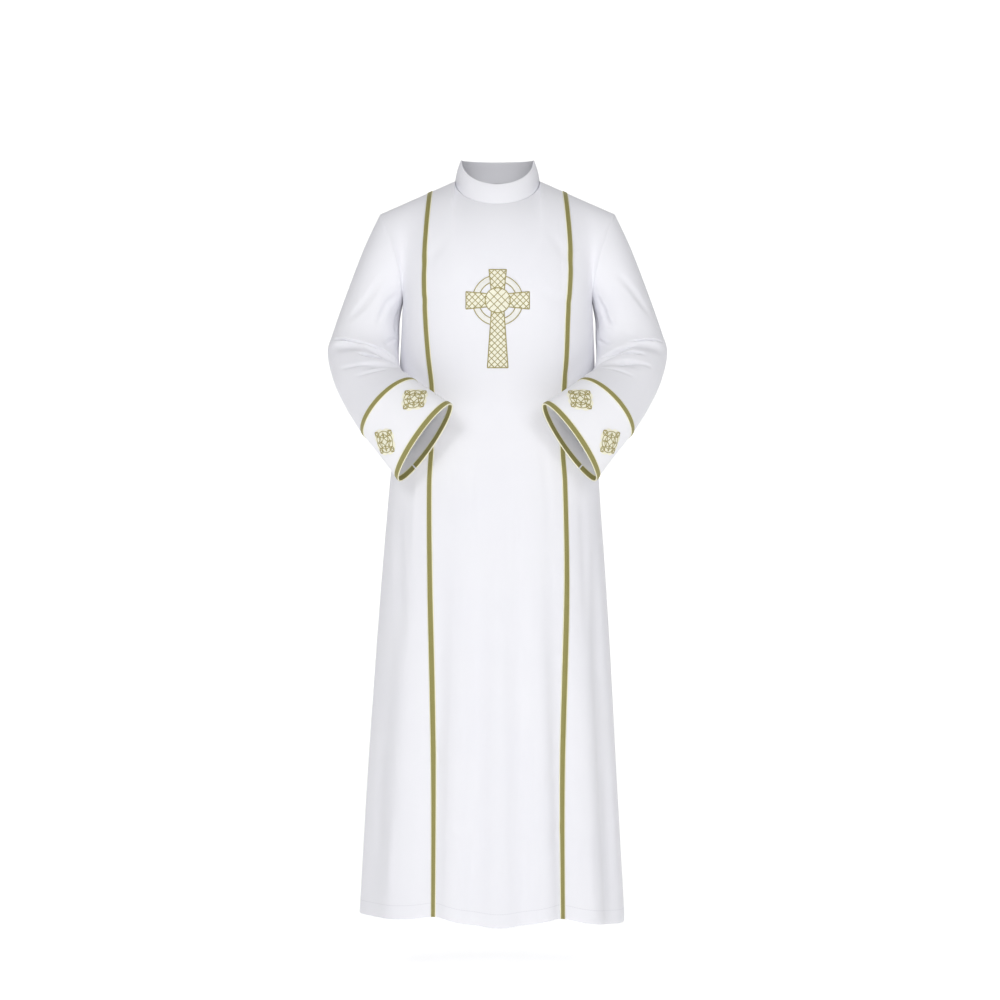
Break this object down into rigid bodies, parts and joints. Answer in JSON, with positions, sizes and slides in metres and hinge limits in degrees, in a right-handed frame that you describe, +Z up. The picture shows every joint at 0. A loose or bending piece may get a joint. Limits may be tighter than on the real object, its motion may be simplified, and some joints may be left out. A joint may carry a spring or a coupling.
{
  "type": "priest robe",
  "caption": "White floor-length robe with a stand collar, wide sleeves bent to the front, olive braid, an embroidered ring cross and knot roundels on the cuffs.",
  "frame": {"origin": "middle of the base of the neck, level with the shoulder seams, where the robe is held up", "axes": "+X to the image's right, the front faces -Y, +Z up"},
  "size_m": [0.6566, 0.4537, 1.4801],
  "materials": {
    "white_cloth": "matt, soft drape",
    "cuff_cloth": "matt, firm",
    "olive_braid": "woven, slight sheen",
    "gold_thread": "embroidered, slight sheen"
  },
  "bodies": {
    "root": {"front_panel": "white_cloth", "side_front_left": "white_cloth", "side_front_right": "white_cloth", "back_left": "white_cloth", "back_right": "white_cloth", "collar": "white_cloth", "sleeve_left": "white_cloth", "sleeve_right": "white_cloth", "cuff_left": "cuff_cloth", "cuff_right": "cuff_cloth", "front_braid_left": "olive_braid", "front_braid_right": "olive_braid", "cuff_upper_braid_left": "olive_braid", "cuff_upper_braid_right": "olive_braid", "cuff_edge_braid_left": "olive_braid", "cuff_edge_braid_right": "olive_braid", "chest_cross": "gold_thread", "cuff_roundel_left_1": "gold_thread", "cuff_roundel_left_2": "gold_thread", "cuff_roundel_left_3": "gold_thread", "cuff_roundel_left_4": "gold_thread", "cuff_roundel_right_1": "gold_thread", "cuff_roundel_right_2": "gold_thread", "cuff_roundel_right_3": "gold_thread", "cuff_roundel_right_4": "gold_thread"}
  },
  "joints": []
}
